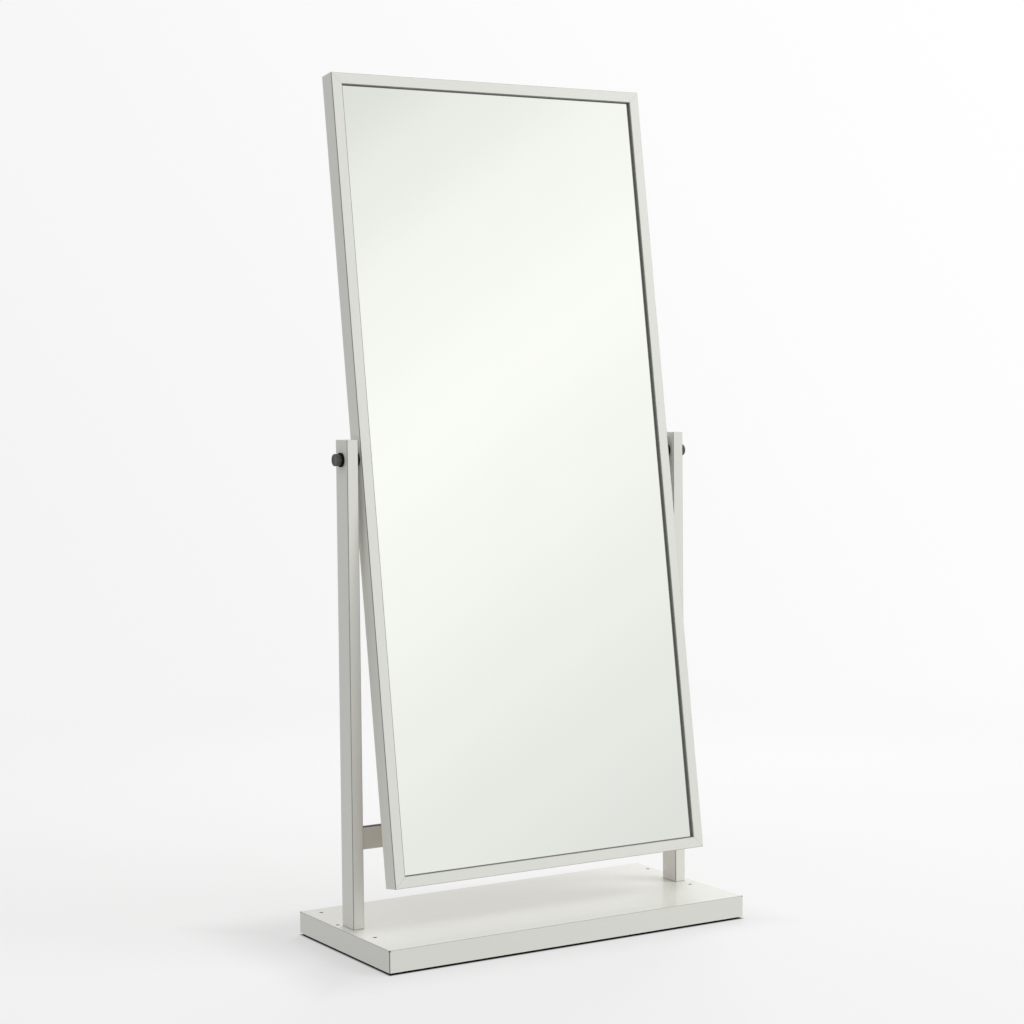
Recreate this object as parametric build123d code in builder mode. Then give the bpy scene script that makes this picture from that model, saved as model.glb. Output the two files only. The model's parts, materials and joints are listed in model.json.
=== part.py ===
"""Cheval floor mirror: a tilting framed glass between two posts on a weighted tray base.

X runs left to right, Y from front to back and Z up. The origin lies on the floor, under the
middle of the base. The glass leans back by rest_tilt in the pose that is modelled.
"""
from build123d import *
from math import cos, radians, sin
import os

os.makedirs("parts", exist_ok=True)

# ---------------------------------------------------------------- driving dimensions, mm
base_w = 750.0            # base cover, side to side
base_d = 348.0            # base cover, front to back
base_h = 39.0             # base cover, height of its skirts
floor_gap = 4.0           # skirts stand this far above the floor
sheet = 1.5               # folded sheet of the cover
fold_r = 1.2              # outside radius of the cover's top folds

post_w = 22.0             # post tube, across X
post_d = 44.0             # post tube, across Y
post_wall = 1.5
post_corner_r = 2.0
post_outer_x = 359.0      # outer face of each post
post_y = 11.5             # posts stand a little behind the middle of the base
post_top = 909.0

rail_bottom = 182.0       # cross rail that ties the posts together
rail_h = 38.5
rail_d = 20.0

frame_w = 657.0           # mirror frame, outside
frame_h = 1443.0
frame_t = 37.0            # front to back
face_w = 20.0             # width of the frame's face
frame_wall = 1.5
frame_edge_r = 1.2
mitre_gap = 0.12          # hairline at each mitre, per member

rest_tilt = 8.1           # lean of the glass from upright, degrees
pivot_z = 874.0
pivot_above_middle = 31.5 # pivots sit above the middle of the frame

reveal = 6.0              # glass lies this far behind the frame's face
glass_t = 4.0
tape_t = 0.8
board_t = 5.0
ledge_w = 10.0
ledge_t = 1.5

stud_r = 4.0
running_gap = 0.06        # radial clearance of the stud in its bores
face_gap = 0.1            # clearance between faces that rub when the glass tilts
washer_r = 12.6
washer_t = 3.8
knob_r = 10.9
knob_reach = 14.2         # end of the knob from the post's face
waist_r = 8.4
head_t = 5.2              # thickness of the knob's head
dish_r = 9.0              # shallow dish in the end of the head
dish_depth = 1.2

# ---------------------------------------------------------------- derived places
base_top = floor_gap + base_h
post_x = post_outer_x - post_w / 2
post_inner_x = post_outer_x - post_w
sides = (("left", -1), ("right", 1))
centre_low = (Align.CENTER, Align.CENTER, Align.MIN)
centre_high = (Align.CENTER, Align.CENTER, Align.MAX)

# The panel plane: X across the glass, Y up along it, normal out of the face.
# Its origin lies on the pivot line, at the middle of the frame's thickness.
lean = radians(rest_tilt)
panel = Plane(
    origin=(0, post_y, pivot_z),
    x_dir=(1, 0, 0),
    z_dir=(0, -cos(lean), sin(lean)),
)
front = frame_t / 2
middle_y = -pivot_above_middle


def keep(piece, label):
    """Name a finished piece and write it as its own STEP file."""
    piece.part.label = label
    export_step(piece.part, f"parts/{label}.step")


def panel_plane(x, y, turn):
    """A plane in the panel, moved to (x, y) and turned about the panel's normal."""
    return Plane(panel.location * Pos(x, y, 0) * Rot(0, 0, turn))


def seen_from_back(plane, depth):
    """The same place at a depth behind the face, facing the back; its Y is mirrored."""
    level = plane.offset(front - depth)
    return Plane(origin=level.origin, x_dir=level.x_dir, z_dir=-level.z_dir)


def cut_cross(align):
    """Cut a cross recess into each screw head, at the places that are in use."""
    Box(cross_span, cross_w, cross_depth, align=align, mode=Mode.SUBTRACT)
    Box(cross_w, cross_span, cross_depth, align=align, mode=Mode.SUBTRACT)


def mitred(length, near, far):
    """Corners of a strip with 45 degree ends, between two distances from the outer edge."""
    half = length / 2 - mitre_gap
    return ((near - half, near), (half - near, near), (half - far, far), (far - half, far))


def spaced(count, span):
    """Positions of count points spread evenly over a span about zero."""
    return [span * (i / (count - 1) - 0.5) for i in range(count)]


# ================================================================ base
cover_screw_points = (
    (-351.0, -76.0), (-364.0, 42.0), (-346.0, 143.0),
    (349.0, -41.0), (356.0, 38.0), (360.0, 117.0),
)
cover_corners = [(sx * base_w / 2, sy * base_d / 2) for sx in (-1, 1) for sy in (-1, 1)]
bolt_spacing = 22.0
bolt_points = [(s * post_x, post_y + t * bolt_spacing / 2) for s in (-1, 1) for t in (-1, 1)]
bolt_r = 4.0
bolt_clear_r = 4.5
screw_head_r = 3.5
screw_head_h = 1.3
screw_shank_r = 2.0
cover_screw_len = 20.0
cross_w = 0.9             # cross recess in the screw heads: width of its arms
cross_span = 4.2          # and their length
cross_depth = 0.7
corner_notch = 1.1        # open joint where two skirts meet
relief_r = 1.6            # relief hole at each folded corner

with BuildPart() as base_cover:
    with BuildSketch(Plane.XY.offset(floor_gap)):
        Rectangle(base_w, base_d)
    extrude(amount=base_h)
    fillet(base_cover.faces().sort_by(Axis.Z)[-1].edges(), radius=fold_r)
    with BuildSketch(Plane.XY.offset(floor_gap)):
        Rectangle(base_w - 2 * sheet, base_d - 2 * sheet)
    extrude(amount=base_h - sheet, mode=Mode.SUBTRACT)
    with Locations(*[(x, y, floor_gap) for x, y in cover_corners]):
        Box(2 * corner_notch, 2 * corner_notch, base_h, align=centre_low, mode=Mode.SUBTRACT)
        Cylinder(relief_r, base_h + sheet, align=centre_low, mode=Mode.SUBTRACT)
    with Locations(*[(x, y, base_top) for x, y in cover_screw_points]):
        CounterSinkHole(radius=screw_shank_r + 0.2, counter_sink_radius=screw_head_r + 0.3)
    with Locations(*[(x, y, base_top) for x, y in bolt_points]):
        Hole(radius=bolt_clear_r)
keep(base_cover, "base_cover")

# The chipboard core fills the cover; the posts are bolted up through it.
core_gap = 0.5
core_corner = 8.0         # core and ballast are trimmed behind the cover's open corners
core_h = 31.0
core_top = base_top - sheet
core_bottom = core_top - core_h
core_w = base_w - 2 * sheet - 2 * core_gap
core_d = base_d - 2 * sheet - 2 * core_gap
bolt_seat = 6.0           # depth of the bolt heads' counterbore
bolt_seat_r = 9.0
foot_inset_x = 18.5
foot_inset_y = 13.0
foot_points = [
    (sx * (base_w / 2 - foot_inset_x), sy * (base_d / 2 - foot_inset_y))
    for sx in (-1, 1) for sy in (-1, 1)
]
plate_screw_points = [(x, y) for x in (-240.0, 0.0, 240.0) for y in (-110.0, 110.0)]
foot_screw_r = 1.9
foot_head_r = 4.2
foot_head_h = 1.6
tip_gap = 0.5             # screws stop this far short of the end of their holes
foot_screw_end = 27.0

with BuildPart() as base_core:
    with BuildSketch(Plane.XY.offset(core_bottom)):
        Rectangle(core_w, core_d)
    extrude(amount=core_h)
    chamfer(base_core.edges().filter_by(Axis.Z), length=core_corner)
    core_under = Plane(origin=(0, 0, core_bottom), x_dir=(1, 0, 0), z_dir=(0, 0, -1))
    with Locations(core_under):
        with Locations(*[(x, -y) for x, y in bolt_points]):
            CounterBoreHole(bolt_clear_r, bolt_seat_r, bolt_seat)
        with Locations(*[(x, -y) for x, y in foot_points + plate_screw_points]):
            Hole(radius=foot_screw_r + 0.05, depth=foot_screw_end - core_bottom)
    with Locations(*[(x, y, core_top) for x, y in cover_screw_points]):
        Hole(radius=screw_shank_r + 0.05, depth=cover_screw_len)
keep(base_core, "base_core")

# Steel ballast under the core keeps the tall glass from tipping.
ballast_t = 5.0
ballast_edge = 3.0        # ballast stops this far inside the core
ballast_bottom = core_bottom - ballast_t
ballast_screw_len = 18.5
with BuildPart() as ballast_plate:
    with BuildSketch(Plane.XY.offset(ballast_bottom)):
        plate = Rectangle(core_w - 2 * ballast_edge, core_d - 2 * ballast_edge)
        chamfer(plate.vertices(), length=core_corner)
        with Locations(*bolt_points):
            Circle(bolt_seat_r, mode=Mode.SUBTRACT)
        with Locations(*foot_points):
            Circle(foot_screw_r + 0.2, mode=Mode.SUBTRACT)
    extrude(amount=ballast_t)
    ballast_under = Plane(origin=(0, 0, ballast_bottom), x_dir=(1, 0, 0), z_dir=(0, 0, -1))
    with Locations(ballast_under):
        with Locations(*plate_screw_points):
            CounterSinkHole(radius=foot_screw_r + 0.2, counter_sink_radius=screw_head_r + 0.3)
keep(ballast_plate, "ballast_plate")

with BuildPart() as ballast_screws:
    with Locations(*[(x, y, ballast_bottom + 0.2) for x, y in plate_screw_points]):
        Cone(screw_head_r, foot_screw_r, screw_head_h, align=centre_low)
        Cylinder(foot_screw_r, ballast_screw_len, align=centre_low)
        cut_cross(centre_low)
keep(ballast_screws, "ballast_screws")

foot_r = 10.8
foot_round = 2.2
foot_recess_r = 5.2
foot_recess = 2.6
with BuildPart() as feet:
    with Locations(*[(x, y, 0) for x, y in foot_points]):
        Cylinder(foot_r, ballast_bottom, align=centre_low)
    fillet(feet.edges().group_by(Axis.Z)[0], radius=foot_round)
    with Locations(*[(x, y, 0) for x, y in foot_points]):
        Cylinder(foot_recess_r, foot_recess, align=centre_low, mode=Mode.SUBTRACT)
        Cylinder(foot_screw_r + 0.1, ballast_bottom, align=centre_low, mode=Mode.SUBTRACT)
keep(feet, "feet")

with BuildPart() as foot_screws:
    with Locations(*[(x, y, foot_recess) for x, y in foot_points]):
        Cylinder(foot_head_r, foot_head_h, align=centre_high)
        Cylinder(foot_screw_r, foot_screw_end - foot_recess - tip_gap, align=centre_low)
    with Locations(*[(x, y, foot_recess - foot_head_h) for x, y in foot_points]):
        cut_cross(centre_low)
keep(foot_screws, "foot_screws")

screw_sink = 0.15
with BuildPart() as cover_screws:
    with Locations(*[(x, y, base_top - screw_sink) for x, y in cover_screw_points]):
        Cone(screw_shank_r, screw_head_r, screw_head_h, align=centre_high)
        Cylinder(screw_shank_r, cover_screw_len - 1.0, align=centre_high)
        cut_cross(centre_high)
keep(cover_screws, "cover_screws")

# ================================================================ posts and cross rail
bush_r = 6.5
block_h = 34.0            # steel block in the foot of each post, tapped for the bolts
block_gap = 0.1
block_corner_r = 0.9
cap_t = 2.5
tube_in_w = post_w - 2 * post_wall
tube_in_d = post_d - 2 * post_wall


for name, side in sides:
    with BuildPart() as post:
        with BuildSketch(Plane.XY.offset(base_top)):
            with Locations((side * post_x, post_y)):
                RectangleRounded(post_w, post_d, post_corner_r)
                RectangleRounded(tube_in_w, tube_in_d, post_corner_r / 2, mode=Mode.SUBTRACT)
        extrude(amount=post_top - base_top)
        with BuildSketch(Plane(origin=(side * post_inner_x, post_y, pivot_z), z_dir=(side, 0, 0))):
            Circle(bush_r + 0.05)
        extrude(amount=post_w, mode=Mode.SUBTRACT)
    keep(post, f"{name}_post")

    with BuildPart() as post_cap:
        with BuildSketch(Plane.XY.offset(post_top - cap_t)):
            with Locations((side * post_x, post_y)):
                RectangleRounded(tube_in_w - block_gap, tube_in_d - block_gap, block_corner_r)
        extrude(amount=cap_t)
    keep(post_cap, f"{name}_post_cap")

    with BuildPart() as foot_block:
        with BuildSketch(Plane.XY.offset(base_top)):
            with Locations((side * post_x, post_y)):
                RectangleRounded(tube_in_w - block_gap, tube_in_d - block_gap, block_corner_r)
                with Locations((0, -bolt_spacing / 2), (0, bolt_spacing / 2)):
                    Circle(bolt_r + 0.05, mode=Mode.SUBTRACT)
        extrude(amount=block_h)
    keep(foot_block, f"{name}_post_block")

    with BuildPart() as bush:
        with BuildSketch(Plane(origin=(side * post_inner_x, post_y, pivot_z), z_dir=(side, 0, 0))):
            Circle(bush_r)
            Circle(stud_r + running_gap, mode=Mode.SUBTRACT)
        extrude(amount=post_w)
    keep(bush, f"{name}_post_bush")

washer_seat = core_bottom + bolt_seat
bolt_washer_t = 1.4
bolt_head_r = 6.6
bolt_head_h = 4.2
bolt_reach = 24.0         # thread in the post block
bolt_washer_r = 8.0
hex_r = 2.9               # hex socket, across its corners
hex_depth = 2.6
with BuildPart() as bolt_washers:
    with BuildSketch(Plane.XY.offset(washer_seat - bolt_washer_t)):
        with Locations(*bolt_points):
            Circle(bolt_washer_r)
            Circle(bolt_r + 0.2, mode=Mode.SUBTRACT)
    extrude(amount=bolt_washer_t)
keep(bolt_washers, "bolt_washers")

bolt_head_top = washer_seat - bolt_washer_t
with BuildPart() as post_bolts:
    with Locations(*[(x, y, bolt_head_top) for x, y in bolt_points]):
        Cylinder(bolt_head_r, bolt_head_h, align=centre_high)
        Cylinder(bolt_r, base_top + bolt_reach - bolt_head_top, align=centre_low)
    with BuildSketch(Plane.XY.offset(bolt_head_top - bolt_head_h)):
        with Locations(*bolt_points):
            RegularPolygon(radius=hex_r, side_count=6)
    extrude(amount=hex_depth, mode=Mode.SUBTRACT)
keep(post_bolts, "post_bolts")

# The rail is a channel, open side up, with a dark strip pressed into its mouth.
rail_wall = 1.5
rail_top = rail_bottom + rail_h
rail_front = post_y - rail_d / 2
strip_sink = 0.8
with BuildPart() as cross_rail:
    rail_end = Plane(origin=(-post_inner_x, post_y, rail_bottom), x_dir=(0, 1, 0), z_dir=(1, 0, 0))
    with BuildSketch(rail_end):
        with Locations((0, rail_h / 2)):
            Rectangle(rail_d, rail_h)
    extrude(amount=2 * post_inner_x)
    low_edges = cross_rail.edges().filter_by(Axis.X).group_by(Axis.Z)[0]
    fillet(low_edges, radius=1.5)
    with BuildSketch(rail_end):
        with Locations((0, (rail_h + rail_wall) / 2)):
            Rectangle(rail_d - 2 * rail_wall, rail_h - rail_wall)
    extrude(amount=2 * post_inner_x, mode=Mode.SUBTRACT)
keep(cross_rail, "cross_rail")

strip_w = rail_d - 2 * rail_wall - 0.1
strip_h = 9.0
with BuildPart() as rail_strip:
    with BuildSketch(Plane.XY.offset(rail_top - strip_sink - strip_h)):
        with Locations((0, post_y)):
            Rectangle(2 * post_inner_x - 0.4, strip_w)
    extrude(amount=strip_h)
    top_long = rail_strip.edges().filter_by(Axis.X).group_by(Axis.Z)[-1]
    fillet(top_long, radius=0.6)
    with BuildSketch(Plane.XY.offset(rail_top - strip_sink - strip_h)):
        with Locations((0, post_y)):
            Rectangle(2 * post_inner_x, strip_w - 5.0)
    extrude(amount=strip_h - 2.0, mode=Mode.SUBTRACT)
keep(rail_strip, "rail_strip")

# ================================================================ mirror frame
key_screw_from_corner = 46.0
key_screw_r = 1.7
ledge_screw_r = 1.6
ledge_head_r = 3.3
ledge_head_h = 1.9
ledge_screw_len = 5.4
ledge_screw_ends = 90.0   # first and last ledge screw, from the corners
ledge_screw_inset = face_w + 5.0
insert_r = 7.0
insert_len = 16.0

# label, length, where the outer edge lies in the panel, its turn, screws along the ledge
members = (
    ("frame_bottom", frame_w, (0, middle_y - frame_h / 2), 0, 3),
    ("frame_top", frame_w, (0, middle_y + frame_h / 2), 180, 3),
    ("frame_left", frame_h, (-frame_w / 2, middle_y), -90, 6),
    ("frame_right", frame_h, (frame_w / 2, middle_y), 90, 6),
)
ledge_back = reveal + glass_t + tape_t + board_t + 0.2 + ledge_t


def ledge_screw_places(length, count):
    """Screws along one ledge, as seen from the back."""
    return [(x, -ledge_screw_inset) for x in spaced(count, length - 2 * ledge_screw_ends)]


for label, length, (edge_x, edge_y), turn, screw_count in members:
    place = panel_plane(edge_x, edge_y, turn)
    key_screw_x = length / 2 - key_screw_from_corner
    with BuildPart() as member:
        with BuildSketch(place.offset(front)):
            Polygon(*mitred(length, 0, face_w), align=None)
        extrude(amount=-frame_t)
        fillet(member.edges().filter_by(Axis(place.origin, place.x_dir)), radius=frame_edge_r)
        with BuildSketch(place.offset(front - frame_wall)):
            Polygon(*mitred(length, frame_wall, face_w - frame_wall), align=None)
        extrude(amount=2 * frame_wall - frame_t, mode=Mode.SUBTRACT)
        with BuildSketch(place.offset(front - ledge_back)):
            Polygon(*mitred(length, face_w - frame_wall / 2, face_w + ledge_w), align=None)
        extrude(amount=ledge_t)
        with Locations(seen_from_back(place, frame_t)):
            with Locations((-key_screw_x, -face_w / 2), (key_screw_x, -face_w / 2)):
                CounterSinkHole(key_screw_r + 0.1, screw_head_r, depth=2 * frame_wall)
        with Locations(seen_from_back(place, ledge_back)):
            with Locations(*ledge_screw_places(length, screw_count)):
                Hole(radius=ledge_screw_r + 0.1, depth=2 * ledge_t)
        if label in ("frame_left", "frame_right"):
            outward = -1 if label == "frame_left" else 1
            hole_plane = Plane(
                origin=(outward * frame_w / 2, post_y, pivot_z), z_dir=(-outward, 0, 0)
            )
            with BuildSketch(hole_plane):
                Circle(insert_r + 0.05)
            extrude(amount=2 * frame_wall, mode=Mode.SUBTRACT)
    keep(member, label)

# L-shaped keys inside the hollow members hold the four mitres.
key_gap = 0.2
key_low = frame_wall + key_gap
key_high = face_w - frame_wall - key_gap
key_arm = 78.0
key_t = frame_t - 2 * frame_wall - 2 * key_gap
pocket_places = (30.0, 62.0)    # cored pockets in each arm, from the corner
pocket_len = 14.0
pocket_w = 10.0
pocket_depth = 0.8 * key_t
key_screw_len = 13.0
corners = (
    ("bottom_left", (-1, -1), 0), ("bottom_right", (1, -1), 90),
    ("top_right", (1, 1), 180), ("top_left", (-1, 1), 270),
)
for label, (sx, sy), turn in corners:
    place = panel_plane(sx * frame_w / 2, middle_y + sy * frame_h / 2, turn)
    with BuildPart() as corner_key:
        with BuildSketch(place.offset(front - key_low)):
            Polygon(
                (key_low, key_low), (key_arm, key_low), (key_arm, key_high),
                (key_high, key_high), (key_high, key_arm), (key_low, key_arm),
                align=None,
            )
        extrude(amount=-key_t)
        with BuildSketch(place.offset(front - key_low)):
            with Locations(*[(p, face_w / 2) for p in pocket_places]):
                Rectangle(pocket_len, pocket_w)
            with Locations(*[(face_w / 2, p) for p in pocket_places]):
                Rectangle(pocket_w, pocket_len)
        extrude(amount=-pocket_depth, mode=Mode.SUBTRACT)
        with Locations(seen_from_back(place, key_low + key_t)):
            with Locations((key_screw_from_corner, -face_w / 2), (face_w / 2, -key_screw_from_corner)):
                Hole(radius=key_screw_r + 0.05, depth=key_screw_len + 1)
    keep(corner_key, f"{label}_corner_key")

with BuildPart() as corner_key_screws:
    for label, (sx, sy), turn in corners:
        place = panel_plane(sx * frame_w / 2, middle_y + sy * frame_h / 2, turn)
        with Locations(seen_from_back(place, frame_t - screw_sink)):
            with Locations((key_screw_from_corner, -face_w / 2), (face_w / 2, -key_screw_from_corner)):
                Cone(key_screw_r, screw_head_r - 0.2, screw_head_h, align=centre_high)
                Cylinder(key_screw_r, key_screw_len, align=centre_high)
                cut_cross(centre_high)
keep(corner_key_screws, "corner_key_screws")

# ================================================================ glass and its backing
gasket_t = 0.8
open_w = frame_w - 2 * face_w
open_h = frame_h - 2 * face_w
gasket_front = frame_edge_r
with BuildPart() as glazing_gasket:
    for label, length, (edge_x, edge_y), turn, screw_count in members:
        place = panel_plane(edge_x, edge_y, turn)
        with BuildSketch(place.offset(front - gasket_front)):
            Polygon(*mitred(length, face_w + 0.02, face_w + gasket_t), align=None)
        extrude(amount=gasket_front - reveal - glass_t)
keep(glazing_gasket, "glazing_gasket")

glass_gap = 0.2
glass_w = open_w - 2 * (gasket_t + glass_gap)
glass_h = open_h - 2 * (gasket_t + glass_gap)
with BuildPart() as mirror_glass:
    with BuildSketch(panel.offset(front - reveal)):
        with Locations((0, middle_y)):
            Rectangle(glass_w, glass_h)
    extrude(amount=-glass_t)
    chamfer(mirror_glass.faces().sort_by(Axis(panel.origin, panel.z_dir))[-1].edges(), length=0.5)
keep(mirror_glass, "mirror_glass")

tape_w = 40.0
tape_inset = 30.0         # strips stop this far inside the glass
with BuildPart() as mounting_tape:
    with BuildSketch(panel.offset(front - reveal - glass_t)):
        with Locations(*[(x, middle_y) for x in spaced(4, glass_w - tape_w - 2 * tape_inset - 10)]):
            Rectangle(tape_w, glass_h - 2 * tape_inset)
    extrude(amount=-tape_t)
keep(mounting_tape, "mounting_tape")

board_gap = 0.5
with BuildPart() as backboard:
    with BuildSketch(panel.offset(front - reveal - glass_t - tape_t)):
        with Locations((0, middle_y)):
            Rectangle(open_w - 2 * board_gap, open_h - 2 * board_gap)
    extrude(amount=-board_t)
    for label, length, (edge_x, edge_y), turn, screw_count in members:
        place = panel_plane(edge_x, edge_y, turn)
        with Locations(seen_from_back(place, reveal + glass_t + tape_t + board_t)):
            with Locations(*ledge_screw_places(length, screw_count)):
                Hole(radius=ledge_screw_r + 0.05, depth=4.0)
keep(backboard, "backboard")

with BuildPart() as backboard_screws:
    for label, length, (edge_x, edge_y), turn, screw_count in members:
        place = panel_plane(edge_x, edge_y, turn)
        with Locations(seen_from_back(place, ledge_back)):
            with Locations(*ledge_screw_places(length, screw_count)):
                Cylinder(ledge_head_r, ledge_head_h, align=centre_low)
                Cylinder(ledge_screw_r, ledge_screw_len, align=centre_high)
        with Locations(seen_from_back(place, ledge_back + ledge_head_h)):
            with Locations(*ledge_screw_places(length, screw_count)):
                cut_cross(centre_high)
keep(backboard_screws, "backboard_screws")

# ================================================================ pivots and clamp knobs
pivot_gap = post_inner_x - frame_w / 2
stud_inner = frame_w / 2 - insert_len + 1.5
stud_outer = post_outer_x + 9.0

for name, side in sides:
    outward = (side, 0, 0)
    pivot_axis = Axis((0, post_y, pivot_z), outward)

    with BuildPart() as pivot_insert:
        with BuildSketch(Plane(origin=(side * frame_w / 2, post_y, pivot_z), z_dir=outward)):
            Circle(insert_r)
            Circle(stud_r + running_gap, mode=Mode.SUBTRACT)
        extrude(amount=-insert_len)
    keep(pivot_insert, f"{name}_pivot_insert")

    with BuildPart() as spacer:
        with BuildSketch(Plane(origin=(side * frame_w / 2, post_y, pivot_z), z_dir=outward)):
            Circle(washer_r)
            Circle(stud_r + running_gap, mode=Mode.SUBTRACT)
        extrude(amount=pivot_gap - face_gap)
        fillet(spacer.edges().filter_by(GeomType.CIRCLE).group_by(SortBy.RADIUS)[-1], radius=0.5)
    keep(spacer, f"{name}_spacer")

    washer_start = post_outer_x + face_gap
    with BuildPart() as washer:
        with BuildSketch(Plane(origin=(side * washer_start, post_y, pivot_z), z_dir=outward)):
            Circle(washer_r)
            Circle(stud_r + 0.3, mode=Mode.SUBTRACT)
        extrude(amount=washer_t)
        fillet(washer.edges().filter_by(GeomType.CIRCLE).group_by(SortBy.RADIUS)[-1], radius=0.8)
    keep(washer, f"{name}_washer")

    with BuildPart() as stud:
        with BuildSketch(Plane(origin=(side * stud_inner, post_y, pivot_z), z_dir=outward)):
            Circle(stud_r)
        extrude(amount=stud_outer - stud_inner)
        chamfer(stud.edges().filter_by(GeomType.CIRCLE), length=0.8)
    keep(stud, f"{name}_stud")

    # Spool-shaped knob: a waist for the fingers, then a round dished head.
    knob_start = washer_start + washer_t + 0.05
    knob_end = post_outer_x + knob_reach
    head_start = knob_end - head_t
    profile_plane = Plane(origin=(0, post_y, pivot_z), x_dir=outward, z_dir=(0, -1, 0))
    with BuildPart() as knob:
        with BuildSketch(profile_plane):
            Polygon(
                (knob_start, 0), (knob_start, waist_r + 0.6), (knob_start + 0.9, waist_r),
                (head_start - 1.0, waist_r), (head_start, knob_r), (knob_end, knob_r),
                (knob_end, dish_r), (knob_end - dish_depth, dish_r - dish_depth), (knob_end - dish_depth, 0),
                align=None,
            )
        revolve(axis=pivot_axis)
        fillet(knob.edges().filter_by(GeomType.CIRCLE).group_by(SortBy.RADIUS)[-1], radius=1.1)
        with BuildSketch(Plane(origin=(side * knob_start, post_y, pivot_z), z_dir=outward)):
            Circle(stud_r + 0.02)
        extrude(amount=stud_outer - knob_start + 0.1, mode=Mode.SUBTRACT)
    keep(knob, f"{name}_knob")
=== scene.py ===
# %% [markdown]
# # A cheval floor mirror, finished in Blender
#
# A cheval mirror is a tall framed glass that tips between two posts. This lesson takes the
# mirror's engineering model, which already has every part at its real size, and gives it its
# looks: painted steel, silvered glass, turned knobs, real screws, light and a camera.
# Run it from top to bottom. Almost every cell prints what it made or measured.

import json
import math

import bmesh
import bpy
import numpy as np
from mathutils import Matrix, Vector


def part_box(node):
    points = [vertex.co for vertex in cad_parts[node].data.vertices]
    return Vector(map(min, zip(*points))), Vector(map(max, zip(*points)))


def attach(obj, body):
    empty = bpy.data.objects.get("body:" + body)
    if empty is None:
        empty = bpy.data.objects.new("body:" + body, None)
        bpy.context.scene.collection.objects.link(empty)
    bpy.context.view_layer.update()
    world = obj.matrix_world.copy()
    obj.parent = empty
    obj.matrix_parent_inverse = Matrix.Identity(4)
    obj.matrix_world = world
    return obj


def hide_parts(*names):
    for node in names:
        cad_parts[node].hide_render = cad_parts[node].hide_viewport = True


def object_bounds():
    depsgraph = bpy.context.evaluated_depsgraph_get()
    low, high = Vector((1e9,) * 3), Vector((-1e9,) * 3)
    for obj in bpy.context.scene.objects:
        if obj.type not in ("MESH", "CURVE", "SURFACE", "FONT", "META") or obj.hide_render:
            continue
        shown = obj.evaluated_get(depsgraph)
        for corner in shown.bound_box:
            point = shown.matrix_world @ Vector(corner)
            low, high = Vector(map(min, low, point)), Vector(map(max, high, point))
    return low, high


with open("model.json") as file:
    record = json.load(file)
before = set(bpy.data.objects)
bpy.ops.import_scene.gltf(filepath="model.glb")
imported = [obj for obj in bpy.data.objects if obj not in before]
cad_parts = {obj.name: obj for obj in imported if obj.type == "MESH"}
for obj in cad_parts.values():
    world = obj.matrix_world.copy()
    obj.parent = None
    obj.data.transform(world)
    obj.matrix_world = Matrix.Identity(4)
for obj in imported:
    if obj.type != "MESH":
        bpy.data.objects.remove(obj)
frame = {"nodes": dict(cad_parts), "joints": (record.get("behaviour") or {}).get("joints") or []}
cad_low, cad_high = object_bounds()
cad_size = cad_high - cad_low
print("size in metres:", [round(value, 4) for value in cad_size])

# %% [markdown]
# ## The leaning panel's own directions
#
# The frame and the glass lean back, so "across", "up the glass" and "out of the face" are not
# the world's axes. They could be typed in as angles, but a drawing can change. Here they are
# read from the glass: the direction that its largest flat face looks in is "out of the face".

# %% Measure the lean of the glass
mm = 0.001


def widest_face_direction(mesh):
    """The direction in which the largest flat area of a mesh looks, towards the front."""
    areas = {}
    for face in mesh.polygons:
        key = tuple(round(value, 3) for value in face.normal)
        areas[key] = areas.get(key, 0) + face.area
    front_keys = [key for key in areas if key[1] < 0]
    return Vector(max(front_keys, key=areas.get)).normalized()


across = Vector((1, 0, 0))
front_to_back = Vector((0, 1, 0))
upward = Vector((0, 0, 1))
outward = widest_face_direction(frame["nodes"]["mirror_glass"].data)
up_the_glass = outward.cross(across)
lean = math.degrees(math.asin(outward.z))
tilt = next(joint for joint in frame["joints"] if joint["name"] == "tilt")
pivot = Vector(tilt["pos_m"])
panel = Matrix((across, up_the_glass, outward)).transposed().to_4x4()
panel.translation = pivot
print("the glass leans back", round(lean, 2), "degrees; pivot at", [round(v, 4) for v in pivot])

# %% [markdown]
# ## Shader maths that reads like arithmetic
#
# A material in Blender is a graph of nodes. Wiring it by hand takes many lines, so two small
# classes do the wiring. `Socket` is the output of a node, and `1 - mask * 0.5` adds the Math
# nodes for it. `Finish` is one material: its `node` method adds any node, and the other
# methods are short names for nodes that most finishes share.

# %% Sockets and finishes
class Socket:
    """An output of a shader node. Arithmetic on it adds Math nodes."""

    def __init__(self, finish, output):
        self.finish = finish
        self.output = output

    def math(self, operation, first, second=0.0):
        return self.finish.node("ShaderNodeMath", {"operation": operation}, {0: first, 1: second})

    def __add__(self, other):
        return self.math("ADD", self, other)

    def __sub__(self, other):
        return self.math("SUBTRACT", self, other)

    def __rsub__(self, other):
        return self.math("SUBTRACT", other, self)

    def __mul__(self, other):
        return self.math("MULTIPLY", self, other)

    def __truediv__(self, other):
        return self.math("DIVIDE", self, other)

    def __abs__(self):
        return self.math("ABSOLUTE", self)

    __radd__ = __add__
    __rmul__ = __mul__

    def at_least(self, other):
        return self.math("MAXIMUM", self, other)


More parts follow.
